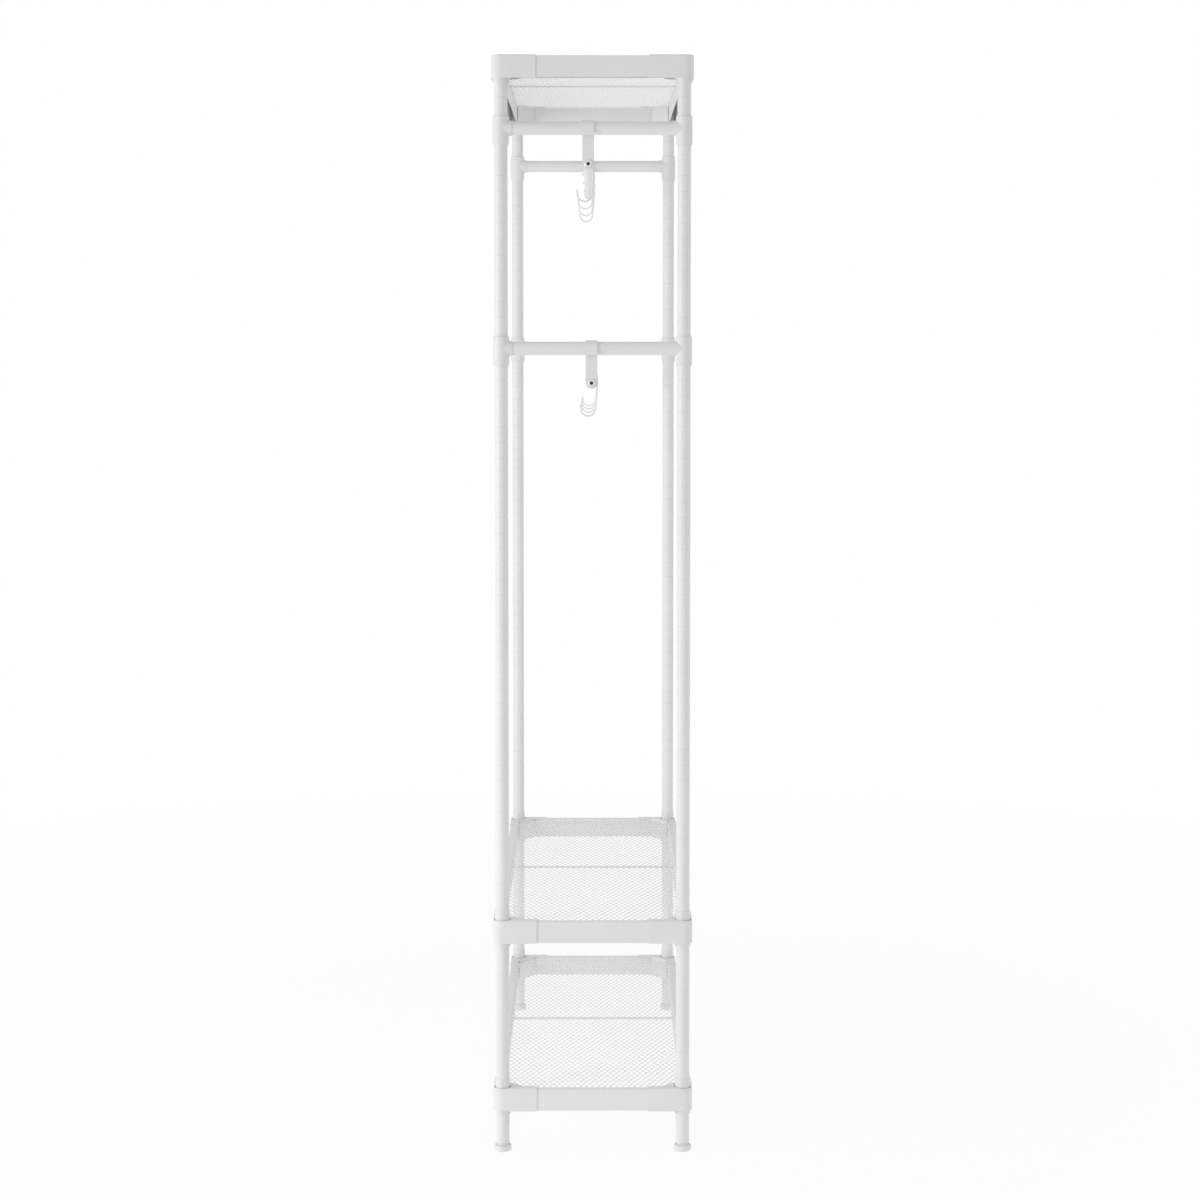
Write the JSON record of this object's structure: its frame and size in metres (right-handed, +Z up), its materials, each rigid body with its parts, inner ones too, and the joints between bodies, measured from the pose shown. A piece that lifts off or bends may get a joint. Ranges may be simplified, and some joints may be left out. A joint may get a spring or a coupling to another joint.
{
  "type": "open frame wardrobe",
  "caption": "Tall open wardrobe frame: grooved tube posts, mesh shelves at bottom and top, hanging rails on crossbars, wire hooks and levelling feet.",
  "frame": {"origin": "centre of the footprint, on the floor", "axes": "+X along the length, +Y across the depth, +Z up"},
  "size_m": [0.9, 0.328, 1.7975],
  "materials": {
    "white_metal": "satin powder coat",
    "white_mesh": "satin powder coat on expanded sheet",
    "white_plastic": "matte",
    "steel": "plain zinc"
  },
  "bodies": {
    "frame": {"collar_sleeves_lower_far": "white_plastic", "collar_sleeves_lower_near": "white_plastic", "collar_sleeves_upper_far": "white_plastic", "collar_sleeves_upper_near": "white_plastic", "collars_lower": "white_plastic", "collars_upper": "white_plastic", "crossbars_lower": "white_metal", "crossbars_upper": "white_metal", "post_caps": "white_plastic", "post_inserts": "steel", "post_lower_far_left": "white_metal", "post_lower_far_right": "white_metal", "post_lower_near_left": "white_metal", "post_lower_near_right": "white_metal", "post_middle_far_left": "white_metal", "post_middle_far_right": "white_metal", "post_middle_near_left": "white_metal", "post_middle_near_right": "white_metal", "post_upper_far_left": "white_metal", "post_upper_far_right": "white_metal", "post_upper_near_left": "white_metal", "post_upper_near_right": "white_metal", "shelf_low_corners": "white_plastic", "shelf_low_rims": "white_metal", "shelf_low_sleeves_far": "white_plastic", "shelf_low_sleeves_near": "white_plastic", "shelf_low_tray": "white_mesh", "shelf_middle_corners": "white_plastic", "shelf_middle_rims": "white_metal", "shelf_middle_sleeves_far": "white_plastic", "shelf_middle_sleeves_near": "white_plastic", "shelf_middle_tray": "white_mesh", "shelf_ribs": "white_metal", "shelf_top_corners": "white_plastic", "shelf_top_rims": "white_metal", "shelf_top_sleeves_far": "white_plastic", "shelf_top_sleeves_near": "white_plastic", "shelf_top_tray": "white_mesh"},
    "rail_lower": {"bracket_lower_far": "white_metal", "bracket_lower_near": "white_metal", "rail_lower": "white_metal", "rail_plugs_lower": "white_plastic", "rail_screws_lower": "steel"},
    "rail_upper": {"bracket_upper_far": "white_metal", "bracket_upper_near": "white_metal", "rail_plugs_upper": "white_plastic", "rail_screws_upper": "steel", "rail_upper": "white_metal"},
    "foot_far_left": {"foot_far_left": "white_plastic"},
    "foot_far_right": {"foot_far_right": "white_plastic"},
    "foot_near_left": {"foot_near_left": "white_plastic"},
    "foot_near_right": {"foot_near_right": "white_plastic"},
    "hook_lower_1": {"hook_lower_1": "white_metal"},
    "hook_lower_2": {"hook_lower_2": "white_metal"},
    "hook_lower_3": {"hook_lower_3": "white_metal"},
    "hook_lower_4": {"hook_lower_4": "white_metal"},
    "hook_upper_1": {"hook_upper_1": "white_metal"},
    "hook_upper_2": {"hook_upper_2": "white_metal"},
    "hook_upper_3": {"hook_upper_3": "white_metal"},
    "hook_upper_4": {"hook_upper_4": "white_metal"}
  },
  "joints": [
    {"name": "foot_near_left_turn", "type": "hinge", "parent": "frame", "child": "foot_near_left", "pos_m": [0.4345, -0.1485, 0], "axis": [0, 0, 1], "continuous": true},
    {"name": "foot_near_right_turn", "type": "hinge", "parent": "frame", "child": "foot_near_right", "pos_m": [0.4345, 0.1485, 0], "axis": [0, 0, 1], "continuous": true},
    {"name": "foot_far_left_turn", "type": "hinge", "parent": "frame", "child": "foot_far_left", "pos_m": [-0.4345, -0.1485, 0], "axis": [0, 0, 1], "continuous": true},
    {"name": "foot_far_right_turn", "type": "hinge", "parent": "frame", "child": "foot_far_right", "pos_m": [-0.4345, 0.1485, 0], "axis": [0, 0, 1], "continuous": true},
    {"name": "rail_upper_slide", "type": "slide", "parent": "frame", "child": "rail_upper", "axis": [0, 1, 0], "range_m": [-0.108, 0.122]},
    {"name": "hook_upper_1_swing", "type": "hinge", "parent": "rail_upper", "child": "hook_upper_1", "pos_m": [0.3415, -0.007, 1.6234], "axis": [1, 0, 0], "range_deg": [-60, 60]},
    {"name": "hook_upper_2_swing", "type": "hinge", "parent": "rail_upper", "child": "hook_upper_2", "pos_m": [0.11383, -0.007, 1.6234], "axis": [1, 0, 0], "range_deg": [-60, 60]},
    {"name": "hook_upper_3_swing", "type": "hinge", "parent": "rail_upper", "child": "hook_upper_3", "pos_m": [-0.11383, -0.007, 1.6234], "axis": [1, 0, 0], "range_deg": [-60, 60]},
    {"name": "hook_upper_4_swing", "type": "hinge", "parent": "rail_upper", "child": "hook_upper_4", "pos_m": [-0.3415, -0.007, 1.6234], "axis": [1, 0, 0], "range_deg": [-60, 60]},
    {"name": "rail_lower_slide", "type": "slide", "parent": "frame", "child": "rail_lower", "axis": [0, 1, 0], "range_m": [-0.1134, 0.1166]},
    {"name": "hook_lower_1_swing", "type": "hinge", "parent": "rail_lower", "child": "hook_lower_1", "pos_m": [0.3415, -0.0016, 1.2678], "axis": [1, 0, 0], "range_deg": [-60, 60]},
    {"name": "hook_lower_2_swing", "type": "hinge", "parent": "rail_lower", "child": "hook_lower_2", "pos_m": [0.11383, -0.0016, 1.2678], "axis": [1, 0, 0], "range_deg": [-60, 60]},
    {"name": "hook_lower_3_swing", "type": "hinge", "parent": "rail_lower", "child": "hook_lower_3", "pos_m": [-0.11383, -0.0016, 1.2678], "axis": [1, 0, 0], "range_deg": [-60, 60]},
    {"name": "hook_lower_4_swing", "type": "hinge", "parent": "rail_lower", "child": "hook_lower_4", "pos_m": [-0.3415, -0.0016, 1.2678], "axis": [1, 0, 0], "range_deg": [-60, 60]}
  ]
}
